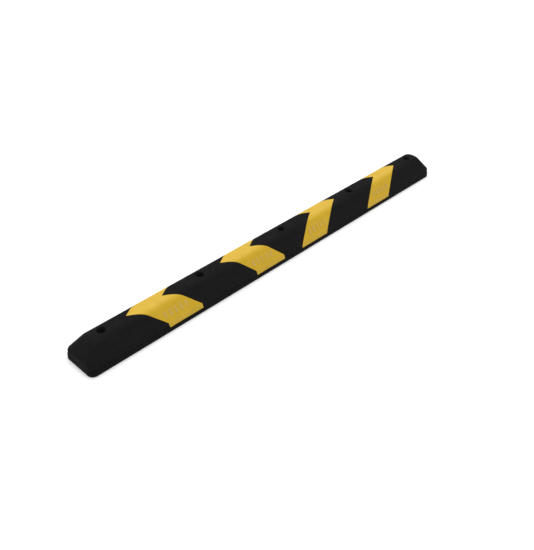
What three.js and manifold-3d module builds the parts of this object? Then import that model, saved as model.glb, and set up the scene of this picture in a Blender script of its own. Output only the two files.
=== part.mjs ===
// Parking wheel stop: one moulded rubber bar with four yellow chevron inlays and five anchor holes.
// Millimetres, +X along the bar, +Z up. The origin is the middle of the footprint, on the ground.
import * as THREE from "three";
import { mergeVertices } from "three/addons/utils/BufferGeometryUtils.js";
import Module from "manifold-3d";

const wasm = await Module();
wasm.setup();

// Overall size
const LENGTH = 1830;
const WIDTH = 146;
const HEIGHT = 95;

// The bar's outline, as distances in from the base line, for its long sides and for its ends
const PLINTH_HEIGHT = 17;
const SHOULDER_HEIGHT = 36.4;
const SIDE = { plinthTop: 1.0, wallFoot: 2.0, shoulder: 4.4, crown: 45.5, crownRadius: 32.5 };
const END = { plinthTop: 0.3, wallFoot: 1.1, shoulder: 2.3, crown: 44.5, crownRadius: 28 };
const SHOULDER_RADIUS = 10;
const CORNER_RADIUS = 22;
const CORNER_STEPS = 6;
const CROWN_STEPS = 7;
const SHOULDER_STEPS = 3;

// Anchor holes, evenly spaced along the top
const ANCHORS = 5;
const ANCHOR_PITCH = 408;
const BORE_RADIUS = 8;
const COUNTERBORE_RADIUS = 15;
const COUNTERBORE_DEPTH = 35;
const HOLE_SEGMENTS = 32;

// Steel washers bonded on the counterbore floors
const WASHER_RADIUS = 14.5;
const WASHER_HOLE_RADIUS = 8.5;
const WASHER_THICKNESS = 3;

// Chevrons: the outer pair is one anchor pitch further out than the inner pair
const INNER_CHEVRON = 313;
const CHEVRON_WIDTH = 145.8;
const CHEVRON_SLANT = 1.67;
const INLAY_THICKNESS = 2;
const GAP = 0.3;

// Pockets in the underside, two in each bay between neighbouring anchor holes
const POCKET_DEPTH = 45;
const POCKET_MOUTH = { halfLength: 80, halfWidth: 46, radius: 14 };
const POCKET_ROOF = { halfLength: 75, halfWidth: 38, radius: 10 };
const POCKET_OFFSET = 92;
const PAST = 5; // how far a cutting tool runs past the face that it cuts

const rubber = new THREE.MeshStandardMaterial({ color: 0x1f1f20, roughness: 0.75, metalness: 0 });
const yellow = new THREE.MeshStandardMaterial({ color: 0xe0b43c, roughness: 0.55, metalness: 0 });
const steel = new THREE.MeshStandardMaterial({ color: 0x9a9c9e, roughness: 0.4, metalness: 1 });

function solid(geometry) {
  const bare = geometry.clone();
  bare.deleteAttribute("normal");
  bare.deleteAttribute("uv");
  const merged = mergeVertices(bare, 1e-4);
  const mesh = new wasm.Mesh({
    numProp: 3,
    vertProperties: new Float32Array(merged.attributes.position.array),
    triVerts: new Uint32Array(merged.index.array),
  });
  return new wasm.Manifold(mesh);
}

function namedMesh(name, shape, material) {
  const { vertProperties, triVerts } = shape.getMesh();
  const geometry = new THREE.BufferGeometry();
  geometry.setAttribute("position", new THREE.BufferAttribute(vertProperties, 3));
  geometry.setIndex(new THREE.BufferAttribute(triVerts, 1));
  geometry.computeVertexNormals();
  const mesh = new THREE.Mesh(geometry, material);
  mesh.name = name;
  return mesh;
}

// Points of the arc of a given radius that rounds the corner between two straight runs.
function roundedCorner(before, corner, after, radius, steps) {
  const back = before.clone().sub(corner).normalize();
  const ahead = after.clone().sub(corner).normalize();
  const half = Math.acos(back.dot(ahead)) / 2;
  const reach = radius / Math.tan(half);
  const centre = back.clone().add(ahead).normalize().multiplyScalar(radius / Math.sin(half)).add(corner);
  const start = back.multiplyScalar(reach).add(corner).sub(centre).angle();
  const end = ahead.multiplyScalar(reach).add(corner).sub(centre).angle();
  const turn = ((end - start + 3 * Math.PI) % (2 * Math.PI)) - Math.PI;
  return Array.from({ length: steps + 1 }, (_, i) => {
    const angle = start + (turn * i) / steps;
    return new THREE.Vector2(radius * Math.cos(angle), radius * Math.sin(angle)).add(centre);
  });
}

// One side of the bar from the ground to the crown: x is the half width, y the height.
function sideProfile(halfWidth, inset) {
  const at = (inward, height) => new THREE.Vector2(halfWidth - inward, height);
  const wallFoot = at(inset.wallFoot, PLINTH_HEIGHT);
  const shoulder = at(inset.shoulder, SHOULDER_HEIGHT);
  const crown = at(inset.crown, HEIGHT);
  const middle = new THREE.Vector2(0, HEIGHT);
  return [
    at(0, 0),
    at(inset.plinthTop, PLINTH_HEIGHT),
    wallFoot,
    ...roundedCorner(wallFoot, shoulder, crown, SHOULDER_RADIUS, SHOULDER_STEPS),
    ...roundedCorner(shoulder, crown, middle, inset.crownRadius, CROWN_STEPS),
  ];
}

const across = sideProfile(WIDTH / 2, SIDE);
const along = sideProfile(LENGTH / 2, END);

// The half length at a height on the upper part of an end, above the plinth's step.
function halfLengthAt(height) {
  const upper = along.slice(2);
  const next = upper.findIndex((point) => point.y >= height - 1e-9);
  if (next <= 0) return upper[0].x;
  const [low, high] = [upper[next - 1], upper[next]];
  return THREE.MathUtils.mapLinear(height, low.y, high.y, low.x, high.x);
}

// A stack of rounded rectangles {z, halfLength, halfWidth, radius}, joined into one closed body.
function loft(levels, centreX = 0) {
  const quarter = CORNER_STEPS + 1;
  const ringSize = 4 * quarter;
  const positions = [];
  for (const { z, halfLength, halfWidth, radius } of levels) {
    for (let i = 0; i < ringSize; i++) {
      const corner = Math.floor(i / quarter);
      const angle = ((corner + (i % quarter) / CORNER_STEPS) * Math.PI) / 2;
      const signX = corner === 0 || corner === 3 ? 1 : -1;
      const signY = corner < 2 ? 1 : -1;
      const x = signX * (halfLength - radius) + radius * Math.cos(angle);
      const y = signY * (halfWidth - radius) + radius * Math.sin(angle);
      positions.push(centreX + x, y, z);
    }
  }
  const index = [];
  for (let level = 0; level + 1 < levels.length; level++) {
    for (let i = 0; i < ringSize; i++) {
      const a = level * ringSize + i;
      const b = level * ringSize + ((i + 1) % ringSize);
      index.push(a, b, b + ringSize, a, b + ringSize, a + ringSize);
    }
  }
  const top = (levels.length - 1) * ringSize;
  for (let i = 1; i + 1 < ringSize; i++) {
    index.push(0, i + 1, i);
    index.push(top, top + i, top + i + 1);
  }
  const geometry = new THREE.BufferGeometry();
  geometry.setAttribute("position", new THREE.Float32BufferAttribute(positions, 3));
  geometry.setIndex(index);
  return solid(geometry);
}

function barBlank() {
  const level = (halfLength, halfWidth, z) => {
    return { z, halfLength, halfWidth, radius: Math.min(CORNER_RADIUS, halfWidth - GAP) };
  };
  return loft(
    across.map((point, i) =>
      level(i < 3 ? along[i].x : halfLengthAt(point.y), point.x, point.y),
    ),
  );
}

function cylinder(radius, low, high, x) {
  const geometry = new THREE.CylinderGeometry(radius, radius, high - low, HOLE_SEGMENTS);
  geometry.rotateX(Math.PI / 2).translate(x, 0, (low + high) / 2);
  return solid(geometry);
}

const anchorX = Array.from({ length: ANCHORS }, (_, i) => (i - (ANCHORS - 1) / 2) * ANCHOR_PITCH);
const seatHeight = HEIGHT - COUNTERBORE_DEPTH;

function anchorHole(x) {
  const bore = cylinder(BORE_RADIUS, -PAST, seatHeight + PAST, x);
  return bore.add(cylinder(COUNTERBORE_RADIUS, seatHeight, HEIGHT + PAST, x));
}

function washer(x) {
  const low = seatHeight + GAP;
  const disc = cylinder(WASHER_RADIUS, low, low + WASHER_THICKNESS, x);
  return disc.subtract(cylinder(WASHER_HOLE_RADIUS, low - PAST, low + WASHER_THICKNESS + PAST, x));
}

// Each bay between neighbouring anchor holes holds two pockets, open downwards.
function pocket(x) {
  const slope = (POCKET_MOUTH.halfWidth - POCKET_ROOF.halfWidth) / POCKET_DEPTH;
  const mouthBelow = {
    halfLength: POCKET_MOUTH.halfLength + slope * PAST,
    halfWidth: POCKET_MOUTH.halfWidth + slope * PAST,
    radius: POCKET_MOUTH.radius,
    z: -PAST,
  };
  return loft([mouthBelow, { ...POCKET_ROOF, z: POCKET_DEPTH }], x);
}

const pocketX = anchorX.slice(0, -1).flatMap((x) => {
  const bay = x + ANCHOR_PITCH / 2;
  return [bay - POCKET_OFFSET, bay + POCKET_OFFSET];
});

// The bar's section above the plinth, moved in by a distance all round and drawn along X.
function sectionAlongBar(inward, length) {
  const upper = across.slice(2);
  const moved = upper.map((point, i) => {
    const from = upper[Math.max(i - 1, 0)];
    const to = upper[Math.min(i + 1, upper.length - 1)];
    const run = to.clone().sub(from).normalize();
    return new THREE.Vector2(-run.y, run.x).multiplyScalar(inward).add(point);
  });
  moved[moved.length - 1].y = HEIGHT - inward;
  const left = moved.map((point) => new THREE.Vector2(-point.x, point.y)).reverse();
  const outline = new THREE.Shape([...moved, ...left]);
  const geometry = new THREE.ExtrudeGeometry(outline, { depth: length, bevelEnabled: false });
  // The shape's X and Y become the part's Y and Z, and the extrusion runs along X.
  const axes = new THREE.Matrix4().makeBasis(
    new THREE.Vector3(0, 1, 0),
    new THREE.Vector3(0, 0, 1),
    new THREE.Vector3(1, 0, 0),
  );
  return solid(geometry.applyMatrix4(axes).translate(-length / 2, 0, 0));
}

// A chevron seen from above, as a standing prism. Its point is at x on the centre line and looks
// towards the nearer end of the bar; grow widens it all round.
function chevronPrism(x, grow) {
  const reach = WIDTH / 2 + PAST;
  const swept = CHEVRON_SLANT * reach;
  const side = grow * Math.hypot(1, CHEVRON_SLANT);
  const inner = CHEVRON_WIDTH + side;
  const outline = new THREE.Shape([
    new THREE.Vector2(-side, 0),
    new THREE.Vector2(-side + swept, -reach),
    new THREE.Vector2(inner + swept, -reach),
    new THREE.Vector2(inner, 0),
    new THREE.Vector2(inner + swept, reach),
    new THREE.Vector2(-side + swept, reach),
  ]);
  const low = PLINTH_HEIGHT + GAP - grow;
  const geometry = new THREE.ExtrudeGeometry(outline, { depth: HEIGHT + PAST - low, bevelEnabled: false });
  geometry.translate(-Math.abs(x), 0, low);
  if (x > 0) geometry.rotateZ(Math.PI);
  return solid(geometry);
}

const chevrons = [
  { name: "chevron_left_outer", x: -INNER_CHEVRON - ANCHOR_PITCH },
  { name: "chevron_left_inner", x: -INNER_CHEVRON },
  { name: "chevron_right_inner", x: INNER_CHEVRON },
  { name: "chevron_right_outer", x: INNER_CHEVRON + ANCHOR_PITCH },
];
const innerReach = LENGTH - 2 * CORNER_RADIUS;
const recessFloor = sectionAlongBar(INLAY_THICKNESS + GAP, innerReach);
const inlayFloor = sectionAlongBar(INLAY_THICKNESS, innerReach);
const inlayFace = sectionAlongBar(0, innerReach);

function barBody() {
  let body = barBlank();
  for (const { x } of chevrons) body = body.subtract(chevronPrism(x, GAP).subtract(recessFloor));
  for (const x of anchorX) body = body.subtract(anchorHole(x));
  for (const x of pocketX) body = body.subtract(pocket(x));
  return body;
}

const wheelStop = new THREE.Group();
wheelStop.add(namedMesh("rubber_body", barBody(), rubber));
for (const { name, x } of chevrons) {
  const inlay = chevronPrism(x, 0).intersect(inlayFace).subtract(inlayFloor);
  wheelStop.add(namedMesh(name, inlay, yellow));
}
anchorX.forEach((x, i) => wheelStop.add(namedMesh(`anchor_washer_${i + 1}`, washer(x), steel)));

export default wheelStop;
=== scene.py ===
"""Parking wheel stop: the fine surfaces, materials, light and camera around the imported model.

Metres, +X along the bar, +Y towards its far side, +Z up, and the origin is the middle of the
footprint on the ground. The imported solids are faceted, so each one is replaced here by a finer
mesh of the same shape.
"""
import math

import bmesh
import bpy
from mathutils import Matrix, Vector


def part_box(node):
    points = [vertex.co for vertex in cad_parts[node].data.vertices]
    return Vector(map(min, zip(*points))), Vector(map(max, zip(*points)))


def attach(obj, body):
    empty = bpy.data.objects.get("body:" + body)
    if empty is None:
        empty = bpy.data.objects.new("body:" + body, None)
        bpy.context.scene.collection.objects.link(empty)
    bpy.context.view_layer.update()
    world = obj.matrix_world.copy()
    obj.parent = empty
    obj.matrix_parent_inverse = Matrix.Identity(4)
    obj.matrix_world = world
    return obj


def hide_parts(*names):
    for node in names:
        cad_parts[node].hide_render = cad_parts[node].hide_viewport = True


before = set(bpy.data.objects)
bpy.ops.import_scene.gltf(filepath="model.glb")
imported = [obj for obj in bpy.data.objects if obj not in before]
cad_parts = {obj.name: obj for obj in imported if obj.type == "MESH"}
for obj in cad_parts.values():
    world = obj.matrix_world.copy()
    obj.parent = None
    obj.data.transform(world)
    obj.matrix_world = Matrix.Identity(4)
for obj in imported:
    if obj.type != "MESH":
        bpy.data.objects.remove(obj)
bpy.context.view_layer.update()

MM = 0.001
ROOT = "root"

# ---------------------------------------------------------------- the bar's driving dimensions
BAR_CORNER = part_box("rubber_body")[1]
HALF_LENGTH = BAR_CORNER.x
HALF_WIDTH = BAR_CORNER.y
HEIGHT = BAR_CORNER.z

PLINTH_HEIGHT = 17 * MM
SHOULDER_HEIGHT = 36.4 * MM

# How far each level of a long side, and of an end, lies inside the footprint.
SIDE = {
    "plinth": 1.0 * MM,
    "foot": 2.0 * MM,
    "shoulder": 4.4 * MM,
    "crown": 45.5 * MM,
    "crown_radius": 32.5 * MM,
}
END = {
    "plinth": 0.3 * MM,
    "foot": 1.1 * MM,
    "shoulder": 2.3 * MM,
    "crown": 44.5 * MM,
    "crown_radius": 28 * MM,
}
SHOULDER_RADIUS = 10 * MM
CORNER_RADIUS = 22 * MM
LEAST_END_FLAT = 0.3 * MM  # half the straight left between two corners where the bar is narrow
GROUND_EDGE_RADIUS = 1.5 * MM
STEP_EDGE_RADIUS = 0.42 * MM
STEP_INNER_RADIUS = 0.3 * MM

CHEVRONS = [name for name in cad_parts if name.startswith("chevron")]
WASHERS = sorted(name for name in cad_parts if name.startswith("anchor_washer"))
BORE_RADIUS = 8 * MM
COUNTERBORE_RADIUS = 15 * MM
SEAT_HEIGHT = 60 * MM
SEAT_FILLET = 0.6 * MM
RIM_RADIUS = 1.2 * MM
WASHER_HOLE_RADIUS = 8.5 * MM
WASHER_ROLL = 0.5 * MM  # radius of the rolled upper edges
WASHER_BURR = 0.15 * MM  # width of the broken lower edges

INLAY_THICKNESS = 2 * MM
RECESS_DEPTH = 2.3 * MM
GAP = 0.3 * MM
CHEVRON_WIDTH = 145.8 * MM
CHEVRON_SLANT = 1.67
INLAY_EDGE_RADIUS = 0.5 * MM
EDGE_ROWS = [d * MM for d in (0, 0.06, 0.18, 0.34, 0.5, 1.2)]  # points near an inlay's low ends
EDGE_COLUMNS = [d * MM for d in (0, 0.05, 0.16, 0.32, 0.5, 0.8, 1.3)]  # points near its long edges

POCKET_DEPTH = 45 * MM
POCKET_MOUTH = (80 * MM, 46 * MM, 14 * MM)  # half length, half width, corner radius
POCKET_ROOF = (75 * MM, 38 * MM, 10 * MM)
POCKET_OFFSET = 92 * MM
POCKET_LIP = 2 * MM
POCKET_ROOF_FILLET = 5 * MM
PAST = 5 * MM  # how far a cutter runs past the face that it cuts
CLEAR = 0.05 * MM  # keeps a cutter's tangent edge off the plane of the face that it meets
STATION_STEP = 24 * MM  # spacing of the bar's points along its length


# ---------------------------------------------------------------- outlines
def quarter_turn(steps):
    """Angles from 0 to a right angle."""
    return [math.pi / 2 * i / steps for i in range(steps + 1)]


def arc_corner(before, corner, after, radius, steps):
    """Points of the arc of a given radius that rounds the corner between two straight runs."""
    before, corner, after = Vector(before), Vector(corner), Vector(after)
    back = (before - corner).normalized()
    ahead = (after - corner).normalized()
    half = math.acos(max(-1.0, min(1.0, back.dot(ahead)))) / 2
    reach = radius / math.tan(half)
    centre = corner + (back + ahead).normalized() * radius / math.sin(half)
    first = corner + back * reach - centre
    last = corner + ahead * reach - centre
    start = math.atan2(first.y, first.x)
    turn = (math.atan2(last.y, last.x) - start + math.pi) % (2 * math.pi) - math.pi
    angles = [start + turn * i / steps for i in range(steps + 1)]
    return [centre + radius * Vector((math.cos(a), math.sin(a))) for a in angles]


def upper_profile(half, inset, crown_steps=16, shoulder_steps=6):
    """One flank above the plinth, up to the crown, as (distance from the middle, height) points."""
    foot = (half - inset["foot"], PLINTH_HEIGHT)
    shoulder = (half - inset["shoulder"], SHOULDER_HEIGHT)
    crown = (half - inset["crown"], HEIGHT)
    points = arc_corner(foot, shoulder, crown, SHOULDER_RADIUS, shoulder_steps)
    points += arc_corner(shoulder, crown, (0, HEIGHT), inset["crown_radius"], crown_steps)
    return points


def plinth_profile(half, inset):
    """The plinth's flank from the ground to the wall's foot, with small moulded roundings."""
    ground = (half, 0)
    step_out = (half - inset["plinth"], PLINTH_HEIGHT)
    step_in = (half - inset["foot"], PLINTH_HEIGHT)
    wall = (half - inset["shoulder"], SHOULDER_HEIGHT)
    points = arc_corner((0, 0), ground, step_out, GROUND_EDGE_RADIUS, 4)
    points += arc_corner(ground, step_out, step_in, STEP_EDGE_RADIUS, 4)
    points += arc_corner(step_out, step_in, wall, STEP_INNER_RADIUS, 3)
    return points


def height_lookup(points):
    """A function that gives the distance from the middle at a height."""
    def at(z):
        for low, high in zip(points, points[1:]):
            if z <= high.y:
                share = (z - low.y) / (high.y - low.y)
                return low.x + (high.x - low.x) * share
        return points[-1].x
    return at


# ---------------------------------------------------------------- mesh building
def mesh_object(name, vertices, faces):
    mesh = bpy.data.meshes.new(name)
    mesh.from_pydata([tuple(v) for v in vertices], [], faces)
    mesh.validate()
    mesh.update()
    made = bpy.data.objects.new(name, mesh)
    bpy.context.scene.collection.objects.link(made)
    return made


def rounded_rectangle(half_length, half_width, radius, corner_steps, stations):
    """Anticlockwise outline. The two long sides carry a point at each X of the stations."""
    points = []
    for quarter in range(4):
        sign_x = 1 if quarter in (0, 3) else -1
        sign_y = 1 if quarter < 2 else -1
        for i in range(corner_steps + 1):
            angle = (quarter + i / corner_steps) * math.pi / 2
            x = sign_x * (half_length - radius) + radius * math.cos(angle)
            y = sign_y * (half_width - radius) + radius * math.sin(angle)
            points.append((x, y))
        if quarter == 0:
            points += [(x, half_width) for x in reversed(stations)]
        if quarter == 2:
            points += [(x, -half_width) for x in stations]
    return points


def cap_faces(corner_steps, count):
    """Faces that close an outline, facing up: strips across it between its stations."""
    corner = corner_steps + 1
    size = 4 * corner + 2 * count
    if count == 0:
        return [tuple(range(size))]
    far = list(range(corner, corner + count))
    near = list(range(3 * corner + count, 3 * corner + 2 * count))[::-1]
    right = [*range(size - corner, size), *range(corner), far[0], near[0]]
    left = [far[-1], *range(corner + count, 3 * corner + count), near[-1]]
    strips = [(far[i], far[i + 1], near[i + 1], near[i]) for i in range(count - 1)]
    return [tuple(right), tuple(left), *strips]


def loft(name, levels, centre_x=0.0, corner_steps=14, stations=()):
    """A closed body through rounded rectangles, bottom first: (z, half length, half width, radius)."""
    vertices, faces = [], []
    for z, half_length, half_width, radius in levels:
        ring = rounded_rectangle(half_length, half_width, radius, corner_steps, stations)
        vertices += [(centre_x + x, y, z) for x, y in ring]
    size = 4 * (corner_steps + 1) + 2 * len(stations)
    for level in range(len(levels) - 1):
        for i in range(size):
            a = level * size + i
            b = level * size + (i + 1) % size
            faces.append((a, b, b + size, a + size))
    cap = cap_faces(corner_steps, len(stations))
    top = (len(levels) - 1) * size
    faces += [tuple(reversed(face)) for face in cap]
    faces += [tuple(top + i for i in face) for face in cap]
    return mesh_object(name, vertices, faces)


def lathe(name, outline, centre_x=0.0, segments=72):
    """A closed body turned from (radius, z) points about a vertical axis. The outline starts and ends on
    the axis, or closes on itself when no radius is zero."""
    vertices, faces = [], []
    solid = outline[0][0] == 0 and outline[-1][0] == 0
    rim = outline[1:-1] if solid else outline
    for radius, z in rim:
        for i in range(segments):
            angle = 2 * math.pi * i / segments
            vertices.append((centre_x + radius * math.cos(angle), radius * math.sin(angle), z))
    rings = len(rim)
    spans = rings - 1 if solid else rings
    for ring in range(spans):
        for i in range(segments):
            j = (i + 1) % segments
            low, high = ring * segments, ((ring + 1) % rings) * segments
            faces.append((low + i, low + j, high + j, high + i))
    if solid:
        faces.append(tuple(reversed(range(segments))))
        faces.append(tuple(range((rings - 1) * segments, rings * segments)))
    return mesh_object(name, vertices, faces)


def cut(body, cutters):
    """Takes the cutters out of the body's mesh and deletes them."""
    group = bpy.data.collections.new("cutters")
    for cutter in cutters:
        bpy.context.scene.collection.objects.unlink(cutter)
        group.objects.link(cutter)
    modifier = body.modifiers.new("cut", "BOOLEAN")
    modifier.operation = "DIFFERENCE"
    modifier.solver = "EXACT"
    modifier.operand_type = "COLLECTION"
    modifier.collection = group
    graph = bpy.context.evaluated_depsgraph_get()
    result = bpy.data.meshes.new_from_object(body.evaluated_get(graph))
    body.modifiers.clear()
    old = body.data
    body.data = result
    bpy.data.meshes.remove(old)
    work = bmesh.new()
    work.from_mesh(result)
    bmesh.ops.remove_doubles(work, verts=work.verts, dist=0.002 * MM)
    bmesh.ops.dissolve_degenerate(work, edges=work.edges, dist=0.002 * MM)
    work.to_mesh(result)
    work.free()
    for cutter in cutters:
        bpy.data.objects.remove(cutter)
    bpy.data.collections.remove(group)


def smooth(piece, angle=32):
    """Smooth shading that keeps flat faces flat, with edges sharper than the angle left crisp."""
    mesh = piece.data
    mesh.polygons.foreach_set("use_smooth", [True] * len(mesh.polygons))
    mesh.set_sharp_from_angle(angle=math.radians(angle))
    weighted = piece.modifiers.new("face_weighted_normals", "WEIGHTED_NORMAL")
    weighted.keep_sharp = True
    weighted.weight = 80


# ---------------------------------------------------------------- the section under the chevrons
def section_stations():
    """Points over half of the bar's section, from the wall's foot to the crown, and the outward normals
    there. The points are close together near the foot, where an inlay's edge is rounded."""
    half = upper_profile(HALF_WIDTH, SIDE)
    foot = Vector((HALF_WIDTH - SIDE["foot"], PLINTH_HEIGHT))
    wall = (half[0] - foot).normalized()
    low_end = foot + wall * (GAP / wall.y)
    closings = [low_end + wall * step for step in EDGE_ROWS]
    line = closings + half
    normals = []
    for i, point in enumerate(line):
        if i < len(closings):
            run = wall
        else:
            ahead = line[i + 1] if i + 1 < len(line) else Vector((0, HEIGHT))
            run = (ahead - point).normalized() + (point - line[i - 1]).normalized()
        run = run.normalized()
        normals.append(Vector((run.y, -run.x)))
    normals[-1] = Vector((0, 1))
    return line, normals


def front_band(line, normals):
    """The same points with rows added on the slope, which is the longest straight run, where the mark
    lies, and a dictionary from a point's place in the list to its mark row."""
    slope = 1 + max(range(len(line) - 1), key=lambda i: (line[i + 1] - line[i]).length)
    low, high = line[slope - 1], line[slope]
    run = high - low
    normal = Vector((run.y, -run.x)).normalized()
    rows = mark_rows(run.length)
    added = [low + run * (row / run.length) for row in rows]
    new_line = line[:slope] + added + line[slope:]
    new_normals = normals[:slope] + [normal] * len(added) + normals[slope:]
    return new_line, new_normals, {slope + i: row for i, row in enumerate(rows)}


# ---------------------------------------------------------------- the embossed mark
MARK_RISE = 0.9 * MM
MARK_EDGE = 0.9 * MM  # run of the mark's soft edge
MARK_HALF_HEIGHT = 12.5 * MM  # along the slope
MARK_BARS = 5
MARK_PITCH = 22 * MM
MARK_BAR_WIDTH = 11 * MM
MARK_BLEND = 12 * MM  # how far outside the mark the columns return to the chevron's slant
EDGE_ZONE = 1.5 * MM  # the columns this close to a chevron's edge stay parallel to it
EDGE_SHARES = (0.0, 0.15, 0.5, 0.85, 1.0)


def eased(share):
    """0 to 1, with a level start and end."""
    share = max(0.0, min(1.0, share))
    return share * share * (3 - 2 * share)


def bar_centres():
    """Distances across the chevron of the middle of each raised bar."""
    first = CHEVRON_WIDTH / 2 - (MARK_BARS - 1) / 2 * MARK_PITCH
    return [first + bar * MARK_PITCH for bar in range(MARK_BARS)]


def mark_rows(slope_length):
    """Distances up the slope where the bars' ends need a row of points."""
    middle = slope_length / 2
    ends = []
    for sign in (-1, 1):
        ends += [middle + sign * (MARK_HALF_HEIGHT - MARK_EDGE * share) for share in EDGE_SHARES]
    return sorted(ends)


def mark_columns():
    """Distances across the chevron where the bars' edges need a column of points."""
    columns = []
    for centre in bar_centres():
        for share in EDGE_SHARES:
            half = MARK_BAR_WIDTH / 2 - MARK_EDGE * share
            columns += [centre - half, centre + half]
    return columns


def mark_height(across, row, rows):
    """0 off the bars to 1 on top of them."""
    middle = (rows[0] + rows[-1]) / 2
    along = eased((MARK_HALF_HEIGHT - abs(row - middle)) / MARK_EDGE)
    nearest = min(abs(across - centre) for centre in bar_centres())
    return along * eased((MARK_BAR_WIDTH / 2 - nearest) / MARK_EDGE)


# ---------------------------------------------------------------- chevrons
def upright(across, y, mark_y):
    """How far a column is moved along X so that the mark's bars stand upright on the front slope. mark_y
    gives the mark's upper, middle and lower distance from the bar's middle."""
    if y > 0:
        return 0.0
    upper, middle, lower = mark_y
    side = min(across, CHEVRON_WIDTH - across)
    mark_side = bar_centres()[0] - MARK_BAR_WIDTH / 2
    share = max(0.0, min(1.0, (side - EDGE_ZONE) / (mark_side - EDGE_ZONE)))
    reach = abs(y)
    held = max(upper, min(lower, reach))
    fade = eased(1 - max(upper - reach, reach - lower, 0.0) / MARK_BLEND)
    return share * fade * CHEVRON_SLANT * (middle - held)


def edge_drop(distance):
    """How far the surface falls near a rounded edge."""
    short = max(0.0, INLAY_EDGE_RADIUS - distance)
    return INLAY_EDGE_RADIUS - math.sqrt(max(0.0, INLAY_EDGE_RADIUS**2 - short**2))


def chevron_x(tip, across, y):
    """X on a chevron at a distance across it and a Y. The tip points to the nearer end of the bar."""
    sign = -1 if tip < 0 else 1
    return tip - sign * (across + CHEVRON_SLANT * abs(y))


def grid_solid(name, tip, columns, outer, inner):
    """A closed slab between two grids of (y, z, across) rows."""
    vertices, faces = [], []
    for grid in (outer, inner):
        for row in grid:
            vertices += [(chevron_x(tip, across, y), y, z) for y, z, across in row]
    rows = len(outer)
    layer = rows * columns

    def at(side, row, column):
        return side * layer + row * columns + column

    for row in range(rows - 1):
        for column in range(columns - 1):
            for side in (0, 1):
                quad = [at(side, row, column), at(side, row, column + 1)]
                quad += [at(side, row + 1, column + 1), at(side, row + 1, column)]
                faces.append(tuple(quad if side == 0 else reversed(quad)))
    for row in range(rows - 1):
        for column in (0, columns - 1):
            quad = [at(0, row, column), at(0, row + 1, column)]
            quad += [at(1, row + 1, column), at(1, row, column)]
            faces.append(tuple(quad if column == 0 else reversed(quad)))
    for column in range(columns - 1):
        for row in (0, rows - 1):
            quad = [at(0, row, column), at(1, row, column)]
            quad += [at(1, row, column + 1), at(0, row, column + 1)]
            faces.append(tuple(quad if row == 0 else reversed(quad)))
    if tip > 0:
        faces = [tuple(reversed(face)) for face in faces]
    return mesh_object(name, vertices, faces)


def whole_section():
    """The whole section from the front wall's foot, where Y is below zero, over the crown and down the
    back: rows of (point, normal, mark row)."""
    line, normals = section_stations()
    front, front_normals, heights = front_band(line, normals)
    rows = []
    for i, (point, normal) in enumerate(zip(front, front_normals)):
        rows.append(((-point.x, point.y), (-normal.x, normal.y), heights.get(i)))
    rows.append(((0.0, HEIGHT), (0.0, 1.0), None))
    for point, normal in reversed(list(zip(line, normals))):
        rows.append(((point.x, point.y), (normal.x, normal.y), None))
    return rows


def perpendicular_share(rows, i):
    """How much of a distance along X is square to the chevron's edge, at a row of the section."""
    (y0, z0), (y1, z1) = rows[max(i - 1, 0)][0], rows[min(i + 1, len(rows) - 1)][0]
    run = math.hypot(y1 - y0, z1 - z0)
    slant = CHEVRON_SLANT * abs(y1 - y0) / run
    return 1 / math.hypot(1, slant)


def inlay(name, tip):
    """A chevron inlay with rounded edges and the embossed bars on its front slope."""
    rows = whole_section()
    marks = [row for _, _, row in rows if row is not None]
    far_edge = [CHEVRON_WIDTH - distance for distance in EDGE_COLUMNS]
    columns = sorted(EDGE_COLUMNS + mark_columns() + far_edge)
    travelled = [0.0]
    for (before, _, _), (after, _, _) in zip(rows, rows[1:]):
        travelled.append(travelled[-1] + math.dist(before, after))
    mark_y = sorted(abs(y) for (y, _), _, mark_row in rows if mark_row is not None)
    mark_y = (mark_y[0], (mark_y[0] + mark_y[-1]) / 2, mark_y[-1])
    outer, inner, raised = [], [], []
    for i, ((y, z), (ny, nz), mark_row) in enumerate(rows):
        share = perpendicular_share(rows, i)
        end_distance = min(travelled[i], travelled[-1] - travelled[i])
        outer_row, inner_row = [], []
        for across in columns:
            side_distance = min(across, CHEVRON_WIDTH - across) * share
            drop = max(edge_drop(side_distance), edge_drop(end_distance))
            lift = mark_height(across, mark_row, marks) if mark_row is not None else 0.0
            raised.append(lift)
            off = lift * MARK_RISE - drop
            moved = across + upright(across, y, mark_y)
            outer_row.append((y + ny * off, z + nz * off, moved))
            inner_row.append((y - ny * INLAY_THICKNESS, z - nz * INLAY_THICKNESS, moved))
        outer.append(outer_row)
        inner.append(inner_row)
    floor = PLINTH_HEIGHT + GAP
    inner[0] = [(y, floor, across) for y, _, across in inner[0]]
    inner[-1] = [(y, floor, across) for y, _, across in inner[-1]]
    piece = grid_solid(name, tip, len(columns), outer, inner)
    layer = piece.data.attributes.new("raised", "FLOAT", "POINT")
    layer.data.foreach_set("value", raised + [0.0] * len(raised))
    return piece


def recess_cutter(tip):
    """What the body loses for a chevron: the inlay's outline with the gap along its long edges, from well
    above the surface down to the recess floor, and at its ends down to just under the plinth's top."""
    line, normals = section_stations()
    foot = Vector((HALF_WIDTH - SIDE["foot"], PLINTH_HEIGHT))
    low = PLINTH_HEIGHT - CLEAR
    floor = [Vector((HALF_WIDTH + PAST, low)), Vector(((foot - normals[0] * RECESS_DEPTH).x, low))]
    half = upper_profile(HALF_WIDTH, SIDE)
    floor += [p - n * RECESS_DEPTH for p, n in zip(half, normals[-len(half) :])]
    rows = [(-q.x, q.y) for q in floor]
    rows.append((0.0, HEIGHT - RECESS_DEPTH))
    rows += [(q.x, q.y) for q in reversed(floor)]
    side_gap = GAP * math.hypot(1, CHEVRON_SLANT)
    columns = (-side_gap, CHEVRON_WIDTH + side_gap)
    above = [[(y, HEIGHT + PAST, across) for across in columns] for y, _ in rows]
    below = [[(y, z, across) for across in columns] for y, z in rows]
    return grid_solid("recess_cutter", tip, len(columns), above, below)


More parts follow.
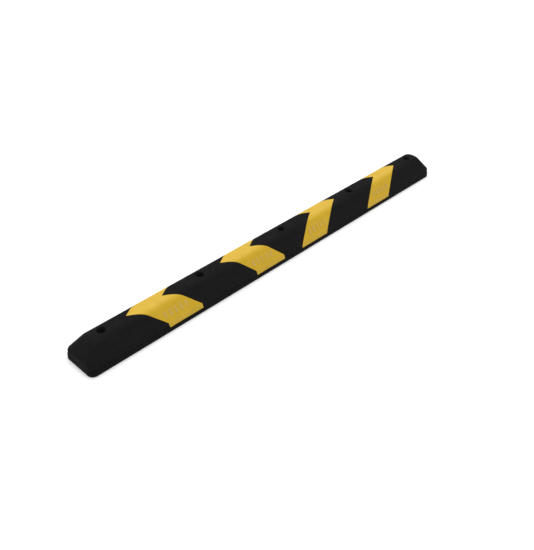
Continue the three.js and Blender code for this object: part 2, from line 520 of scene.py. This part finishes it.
# ---------------------------------------------------------------- body
def bar_blank():
    """The bar before its recesses, holes and pockets are cut, lofted from the ground to its flat top."""
    side_low = plinth_profile(HALF_WIDTH, SIDE)
    end_low = plinth_profile(HALF_LENGTH, END)
    end_foot = Vector((HALF_LENGTH - END["foot"], PLINTH_HEIGHT))
    end_high = upper_profile(HALF_LENGTH, END, crown_steps=40, shoulder_steps=12)
    half_length_at = height_lookup([end_foot] + end_high)
    pairs = [(end.x, side) for side, end in zip(side_low, end_low)]
    pairs += [(half_length_at(side.y), side) for side in upper_profile(HALF_WIDTH, SIDE)]
    levels = []
    for half_length, side in pairs:
        radius = min(CORNER_RADIUS, side.x - LEAST_END_FLAT)
        levels.append((side.y, half_length, side.x, radius))
    count = int((HALF_LENGTH - END["crown"] - CORNER_RADIUS) / STATION_STEP)
    stations = [i * STATION_STEP for i in range(-count, count + 1)]
    return loft("rubber_bar", levels, stations=stations)


def anchor_cutter(x):
    """A bore with a rolled mouth below, and a counterbore with a small floor fillet and a rolled rim."""
    angles = quarter_turn(5)
    mouth_x = BORE_RADIUS + RIM_RADIUS
    mouth_z = RIM_RADIUS - CLEAR
    floor_x = COUNTERBORE_RADIUS - SEAT_FILLET
    floor_z = SEAT_HEIGHT + SEAT_FILLET
    rim_x = COUNTERBORE_RADIUS + RIM_RADIUS
    rim_z = HEIGHT - RIM_RADIUS + CLEAR
    outline = [(0, -PAST), (mouth_x, -PAST)]
    outline += [(mouth_x - RIM_RADIUS * math.sin(a), mouth_z - RIM_RADIUS * math.cos(a)) for a in angles]
    outline.append((BORE_RADIUS, SEAT_HEIGHT))
    outline += [(floor_x + SEAT_FILLET * math.sin(a), floor_z - SEAT_FILLET * math.cos(a)) for a in angles]
    outline += [(rim_x - RIM_RADIUS * math.cos(a), rim_z + RIM_RADIUS * math.sin(a)) for a in angles]
    outline += [(rim_x, HEIGHT + PAST), (0, HEIGHT + PAST)]
    return lathe("anchor_cutter", outline, x)


def pocket_cutter(x):
    """An underside pocket with a rolled lip, sloped walls and a filleted roof."""
    def wall(z):
        share = z / POCKET_DEPTH
        return [a + (b - a) * share for a, b in zip(POCKET_MOUTH, POCKET_ROOF)]

    length, width, radius = wall(0)
    levels = [(-PAST, length + POCKET_LIP, width + POCKET_LIP, radius + POCKET_LIP)]
    for a in quarter_turn(5):
        z = POCKET_LIP * (1 - math.cos(a)) - CLEAR
        flare = POCKET_LIP * (1 - math.sin(a))
        length, width, radius = wall(z)
        levels.append((z, length + flare, width + flare, radius + flare))
    for a in quarter_turn(5):
        z = POCKET_DEPTH - POCKET_ROOF_FILLET * (1 - math.sin(a))
        draw = POCKET_ROOF_FILLET * (1 - math.cos(a))
        length, width, radius = wall(z)
        levels.append((z, length - draw, width - draw, radius - draw))
    return loft("pocket_cutter", levels, x, corner_steps=8)


def washer_centre(name):
    low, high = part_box(name)
    return (low + high) / 2


def build_body(anchor_x, tips):
    """The rubber bar with its chevron recesses, anchor holes and underside pockets."""
    body = bar_blank()
    cut(body, [recess_cutter(tip) for tip in tips])
    cut(body, [anchor_cutter(x) for x in anchor_x])
    bays = [(a + b) / 2 for a, b in zip(anchor_x, anchor_x[1:])]
    cut(body, [pocket_cutter(bay + sign * POCKET_OFFSET) for bay in bays for sign in (-1, 1)])
    mark_bores(body, anchor_x)
    smooth(body)
    return body


def mark_bores(body, anchor_x):
    """An attribute that is 1 on the walls of the anchor holes, where the material paints dust and painted
    light that lifts their shade.
    """
    values = []
    for vertex in body.data.vertices:
        x, y, z = vertex.co
        reach = min(math.hypot(x - anchor, y) for anchor in anchor_x)
        inside = reach < COUNTERBORE_RADIUS + 0.1 * MM and z > RIM_RADIUS / 2
        values.append(1.0 if inside else 0.0)
    layer = body.data.attributes.new("bored", "FLOAT", "POINT")
    layer.data.foreach_set("value", values)


def build_washer(name):
    """A stamped flat washer: rolled edges above, small broken edges below."""
    low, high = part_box(name)
    outer = (high.x - low.x) / 2
    hole = WASHER_HOLE_RADIUS
    outline = [(outer - WASHER_BURR, low.z), (outer, low.z + WASHER_BURR)]
    for a in quarter_turn(4):
        outline.append((outer - WASHER_ROLL * (1 - math.cos(a)), high.z - WASHER_ROLL * (1 - math.sin(a))))
    for a in quarter_turn(4):
        outline.append((hole + WASHER_ROLL * (1 - math.sin(a)), high.z - WASHER_ROLL * (1 - math.cos(a))))
    outline += [(hole, low.z + WASHER_BURR), (hole + WASHER_BURR, low.z)]
    piece = lathe(name + "_fine", outline, washer_centre(name).x, segments=96)
    smooth(piece)
    return piece


# ---------------------------------------------------------------- materials
# The sockets that a Mix node uses for colours.
MIX_SHARE = 0
MIX_FIRST = 6
MIX_SECOND = 7
MIX_RESULT = 2

BLACK_DEEP = (0.0088, 0.0088, 0.0089)
BLACK_LIGHT = (0.0104, 0.0104, 0.0104)
BLACK_PAINTED_SHADE = (0.0045, 0.0045, 0.0046)
CRUMB_GREY = (0.045, 0.044, 0.043)
HOLE_DUST_AND_PAINTED_LIGHT = (0.044, 0.043, 0.041)
GROUND_DUST = (0.060, 0.058, 0.054)
YELLOW_DEEP = (0.71, 0.447, 0.012)
YELLOW_LIGHT = (0.76, 0.480, 0.018)
YELLOW_PAINTED_SHEEN = (1.0, 0.68, 0.15)
YELLOW_CRUMB = (0.36, 0.22, 0.03)
SCUFFED_TAN = (0.60, 0.45, 0.28)
STEEL_DEEP = (0.46, 0.47, 0.49)
STEEL_LIGHT = (0.60, 0.61, 0.62)

CRUMBS_PER_METRE = 620.0
GRAIN_PER_METRE = 850.0


class Nodes:
    """Small helper that adds and joins shader nodes."""

    def __init__(self, name):
        self.material = bpy.data.materials.new(name)
        self.material.use_nodes = True
        self.tree = self.material.node_tree
        self.shader = self.tree.nodes["Principled BSDF"]
        self.place = self.add("ShaderNodeTexCoord").outputs["Object"]

    def add(self, kind, **values):
        node = self.tree.nodes.new(kind)
        for key, value in values.items():
            setattr(node, key, value)
        return node

    def join(self, source, target):
        self.tree.links.new(source, target)

    def noise(self, scale, detail=3.0, rough=0.5):
        """Cloudy noise, with scale in cycles per metre."""
        node = self.add("ShaderNodeTexNoise")
        node.inputs["Scale"].default_value = scale
        node.inputs["Detail"].default_value = detail
        node.inputs["Roughness"].default_value = rough
        self.join(self.place, node.inputs["Vector"])
        return node.outputs["Fac"]

    def cells(self, scale, output="Distance"):
        """Cells, with scale in cells per metre: the distance to a cell's middle, or its own colour."""
        node = self.add("ShaderNodeTexVoronoi")
        node.inputs["Scale"].default_value = scale
        self.join(self.place, node.inputs["Vector"])
        return node.outputs[output]

    def ramp(self, source, low, high, low_value=0.0, high_value=1.0):
        """low_value where the source is low, high_value where it is high, and straight between."""
        node = self.add("ShaderNodeMapRange")
        node.inputs["From Min"].default_value = low
        node.inputs["From Max"].default_value = high
        node.inputs["To Min"].default_value = low_value
        node.inputs["To Max"].default_value = high_value
        self.join(source, node.inputs["Value"])
        return node.outputs["Result"]

    def times(self, first, second):
        """The product of a socket and another socket or a number."""
        node = self.add("ShaderNodeMath", operation="MULTIPLY")
        self.join(first, node.inputs[0])
        if isinstance(second, float):
            node.inputs[1].default_value = second
        else:
            self.join(second, node.inputs[1])
        return node.outputs["Value"]

    def mix(self, share, first, second):
        """From the first colour to the second. A colour is a socket or three numbers."""
        node = self.add("ShaderNodeMix", data_type="RGBA")
        self.join(share, node.inputs[MIX_SHARE])
        for index, colour in ((MIX_FIRST, first), (MIX_SECOND, second)):
            if isinstance(colour, tuple):
                node.inputs[index].default_value = (*colour, 1.0)
            else:
                self.join(colour, node.inputs[index])
        return node.outputs[MIX_RESULT]

    def bump(self, height, distance, after=None):
        """A normal bent by a height, on top of an earlier bump. The distance is the full height."""
        node = self.add("ShaderNodeBump")
        node.inputs["Strength"].default_value = 1.0
        node.inputs["Distance"].default_value = distance
        self.join(height, node.inputs["Height"])
        if after is not None:
            self.join(after, node.inputs["Normal"])
        return node.outputs["Normal"]

    def height(self):
        """Height above the ground."""
        node = self.add("ShaderNodeSeparateXYZ")
        self.join(self.place, node.inputs["Vector"])
        return node.outputs["Z"]

    def facing_up(self):
        """1 where the surface faces straight up, -1 where it faces straight down."""
        node = self.add("ShaderNodeSeparateXYZ")
        self.join(self.add("ShaderNodeNewGeometry").outputs["Normal"], node.inputs["Vector"])
        return node.outputs["Z"]

    def attribute(self, name):
        """A value stored on the mesh's points."""
        return self.add("ShaderNodeAttribute", attribute_name=name).outputs["Fac"]


def rubber_material():
    """Black moulded rubber: crumb grain, faint blotches, pale crumbs, painted shade on the lower flanks,
    dust and painted light in the anchor holes, and dust along the ground edge and on the underside."""
    n = Nodes("moulded_rubber")
    n.shader.inputs["Specular IOR Level"].default_value = 0.1
    blotch = n.ramp(n.noise(9.0, 2.0), 0.3, 0.7)
    colour = n.mix(blotch, BLACK_DEEP, BLACK_LIGHT)
    # Painted shade: the black is darkened below the shoulder, down towards the plinth.
    flank = n.ramp(n.height(), SHOULDER_HEIGHT + 4 * MM, SHOULDER_HEIGHT - 6 * MM)
    colour = n.mix(n.times(flank, 0.42), colour, BLACK_PAINTED_SHADE)
    crumb = n.ramp(n.cells(CRUMBS_PER_METRE, "Color"), 0.8, 0.95)
    colour = n.mix(n.times(crumb, 0.3), colour, CRUMB_GREY)
    ground_edge = n.ramp(n.height(), 5 * MM, 0.5 * MM)
    smudge = n.ramp(n.noise(45.0, 5.0, 0.6), 0.4, 0.7, 0.0, 0.35)
    colour = n.mix(n.times(ground_edge, smudge), colour, GROUND_DUST)
    # Dust and painted light: the anchor holes' walls are lightened, partly for dust and partly to lift the
    # shade inside them.
    colour = n.mix(n.times(n.attribute("bored"), 0.9), colour, HOLE_DUST_AND_PAINTED_LIGHT)
    facing_down = n.ramp(n.facing_up(), -0.5, -0.9)
    dust = n.ramp(n.noise(35.0, 5.0, 0.6), 0.3, 0.7, 0.5, 0.9)
    colour = n.mix(n.times(facing_down, dust), colour, GROUND_DUST)
    n.join(colour, n.shader.inputs["Base Color"])
    rough = n.ramp(n.noise(60.0, 4.0), 0.3, 0.7, 0.72, 0.9)
    n.join(rough, n.shader.inputs["Roughness"])
    sag = n.bump(n.noise(14.0, 1.0), 0.6 * MM)
    grain = n.bump(n.noise(GRAIN_PER_METRE, 3.0, 0.6), 0.2 * MM, after=sag)
    crumbs = n.bump(n.cells(CRUMBS_PER_METRE), 0.15 * MM, after=grain)
    n.join(crumbs, n.shader.inputs["Normal"])
    return n.material


def yellow_material():
    """Yellow coloured rubber, satin: a painted sheen on the top, darker crumbs, and raised bars a little
    scuffed.
    """
    n = Nodes("yellow_inlay")
    n.shader.inputs["Specular IOR Level"].default_value = 0.45
    blotch = n.ramp(n.noise(22.0, 3.0), 0.3, 0.7)
    colour = n.mix(blotch, YELLOW_DEEP, YELLOW_LIGHT)
    # Painted sheen: surfaces facing up are lightened in patches towards a pale warm yellow.
    painted_sheen = n.ramp(n.noise(30.0, 3.0), 0.3, 0.7, 0.1, 0.25)
    top = n.ramp(n.facing_up(), 0.8, 1.0)
    colour = n.mix(n.times(top, painted_sheen), colour, YELLOW_PAINTED_SHEEN)
    crumb = n.ramp(n.cells(CRUMBS_PER_METRE, "Color"), 0.82, 0.95)
    colour = n.mix(n.times(crumb, 0.3), colour, YELLOW_CRUMB)
    scuff = n.ramp(n.noise(120.0, 4.0), 0.35, 0.7, 0.05, 0.5)
    colour = n.mix(n.times(n.attribute("raised"), scuff), colour, SCUFFED_TAN)
    n.join(colour, n.shader.inputs["Base Color"])
    rough = n.ramp(n.noise(80.0, 3.0), 0.3, 0.7, 0.55, 0.7)
    n.join(rough, n.shader.inputs["Roughness"])
    sag = n.bump(n.noise(18.0, 1.0), 0.4 * MM)
    grain = n.bump(n.noise(GRAIN_PER_METRE, 3.0, 0.6), 0.15 * MM, after=sag)
    crumbs = n.bump(n.cells(CRUMBS_PER_METRE), 0.1 * MM, after=grain)
    n.join(crumbs, n.shader.inputs["Normal"])
    return n.material


def steel_material():
    """Zinc-plated steel with a faint spangle and a fine grain."""
    n = Nodes("zinc_plated_steel")
    n.shader.inputs["Metallic"].default_value = 1.0
    spangle = n.ramp(n.cells(500.0, "Color"), 0.1, 0.9)
    n.join(n.mix(spangle, STEEL_DEEP, STEEL_LIGHT), n.shader.inputs["Base Color"])
    rough = n.ramp(n.noise(400.0, 4.0), 0.3, 0.7, 0.28, 0.5)
    n.join(rough, n.shader.inputs["Roughness"])
    n.join(n.bump(n.noise(1500.0, 3.0), 0.04 * MM), n.shader.inputs["Normal"])
    return n.material


def finish_piece(piece, material, node):
    """Gives a piece its material and body, and puts it in the place of a CAD node."""
    piece.data.materials.clear()
    piece.data.materials.append(material)
    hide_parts(node)
    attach(piece, ROOT)


# ---------------------------------------------------------------- stage, light and camera
CAMERA_AIM = Vector((-0.0950, -0.0228, -0.0622))
CAMERA_DISTANCE = 2.6617
CAMERA_AZIMUTH = -46.70
CAMERA_ELEVATION = 37.07
CAMERA_ROLL = 1.27
CAMERA_LENS = 45.60
CAMERA_NEAR = 0.1
CAMERA_FAR = 60.0
FLOOR_HALF = 60.0
FLOOR_DROP = 0.3 * MM  # keeps the floor off the bar's underside
PLAIN_WHITE = (1.0, 1.0, 1.0, 1.0)
FLOOR_WHITE = (0.95, 0.95, 0.95, 1.0)


def direction(azimuth, elevation):
    """Unit vector from the object towards a viewer at that azimuth and elevation, in degrees."""
    a, e = math.radians(azimuth), math.radians(elevation)
    return Vector((math.sin(a) * math.cos(e), -math.cos(a) * math.cos(e), math.sin(e)))


def build_camera():
    data = bpy.data.cameras.new("camera")
    data.lens = CAMERA_LENS
    data.clip_start = CAMERA_NEAR
    data.clip_end = CAMERA_FAR
    camera = bpy.data.objects.new("camera", data)
    bpy.context.scene.collection.objects.link(camera)
    back = direction(CAMERA_AZIMUTH, CAMERA_ELEVATION)
    turn = (-back).to_track_quat("-Z", "Y").to_matrix().to_4x4()
    roll = Matrix.Rotation(math.radians(CAMERA_ROLL), 4, "Z")
    camera.matrix_world = Matrix.Translation(CAMERA_AIM + back * CAMERA_DISTANCE) @ turn @ roll
    bpy.context.scene.camera = camera


def soft_light(name, azimuth, elevation, spread, strength):
    """A parallel light with a wide angle, so that its shadows are soft everywhere."""
    data = bpy.data.lights.new(name, "SUN")
    data.angle = math.radians(spread)
    data.energy = strength
    lamp = bpy.data.objects.new(name, data)
    bpy.context.scene.collection.objects.link(lamp)
    lamp.matrix_world = direction(azimuth, elevation).to_track_quat("Z", "Y").to_matrix().to_4x4()


def build_floor():
    """A plain white floor that shows only from above."""
    signs = ((-1, -1), (1, -1), (1, 1), (-1, 1))
    corners = [(x * FLOOR_HALF, y * FLOOR_HALF, -FLOOR_DROP) for x, y in signs]
    floor = mesh_object("floor", corners, [(0, 1, 2, 3)])
    n = Nodes("pale_floor")
    n.shader.inputs["Base Color"].default_value = FLOOR_WHITE
    n.shader.inputs["Roughness"].default_value = 0.9
    n.shader.inputs["Specular IOR Level"].default_value = 0.0
    n.shader.inputs["Emission Color"].default_value = PLAIN_WHITE
    n.shader.inputs["Emission Strength"].default_value = 0.2
    one_sided = n.add("ShaderNodeMixShader")
    n.join(n.add("ShaderNodeNewGeometry").outputs["Backfacing"], one_sided.inputs[0])
    n.join(n.shader.outputs["BSDF"], one_sided.inputs[1])
    n.join(n.add("ShaderNodeBsdfTransparent").outputs["BSDF"], one_sided.inputs[2])
    n.join(one_sided.outputs["Shader"], n.tree.nodes["Material Output"].inputs["Surface"])
    floor.data.materials.append(n.material)


def build_light():
    """Soft light from all round, a plain white backdrop, and a broad lamp overhead."""
    world = bpy.data.worlds.new("studio")
    world.use_nodes = True
    nodes = world.node_tree.nodes
    links = world.node_tree.links
    ambient = nodes["Background"]
    ambient.inputs["Color"].default_value = PLAIN_WHITE
    ambient.inputs["Strength"].default_value = 0.32
    backdrop = nodes.new("ShaderNodeBackground")
    backdrop.inputs["Color"].default_value = PLAIN_WHITE
    shown = nodes.new("ShaderNodeMixShader")
    links.new(nodes.new("ShaderNodeLightPath").outputs["Is Camera Ray"], shown.inputs[0])
    links.new(ambient.outputs[0], shown.inputs[1])
    links.new(backdrop.outputs[0], shown.inputs[2])
    links.new(shown.outputs[0], nodes["World Output"].inputs["Surface"])
    bpy.context.scene.world = world
    bpy.context.scene.view_settings.view_transform = "Standard"
    soft_light("overhead", azimuth=135, elevation=75, spread=50, strength=2.25)


# ---------------------------------------------------------------- the whole object
build_camera()
build_floor()
build_light()

rubber = rubber_material()
yellow = yellow_material()
steel = steel_material()

anchor_x = [washer_centre(name).x for name in WASHERS]
chevron_tips = {}
for name in CHEVRONS:
    low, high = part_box(name)
    chevron_tips[name] = low.x if low.x + high.x < 0 else high.x

finish_piece(build_body(anchor_x, chevron_tips.values()), rubber, "rubber_body")
for name, tip in chevron_tips.items():
    piece = inlay(name + "_fine", tip)
    smooth(piece)
    finish_piece(piece, yellow, name)
for name in WASHERS:
    finish_piece(build_washer(name), steel, name)
